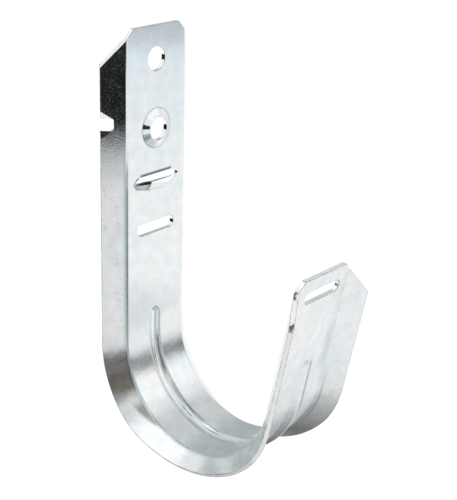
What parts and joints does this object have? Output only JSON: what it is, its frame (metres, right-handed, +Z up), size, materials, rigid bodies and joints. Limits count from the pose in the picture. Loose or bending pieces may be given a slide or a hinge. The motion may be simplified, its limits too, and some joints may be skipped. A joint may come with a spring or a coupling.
{
  "type": "cable j-hook",
  "caption": "J-shaped cable hook folded from one strip of galvanised sheet steel, with flared flanges, a stiffening bead, mounting holes and strap slots.",
  "frame": {"origin": "centre of the upper mounting hole, on the face of the plate that looks at the cables", "axes": "+Z up along the plate, +X along the cables, +Y towards the wall"},
  "size_m": [0.0338, 0.0666, 0.1174],
  "materials": {
    "galvanised_steel": "bright galvanised, satin, with faint mottling and drawn streaks in the bend"
  },
  "bodies": {
    "root": {"j_hook": "galvanised_steel"}
  },
  "joints": []
}
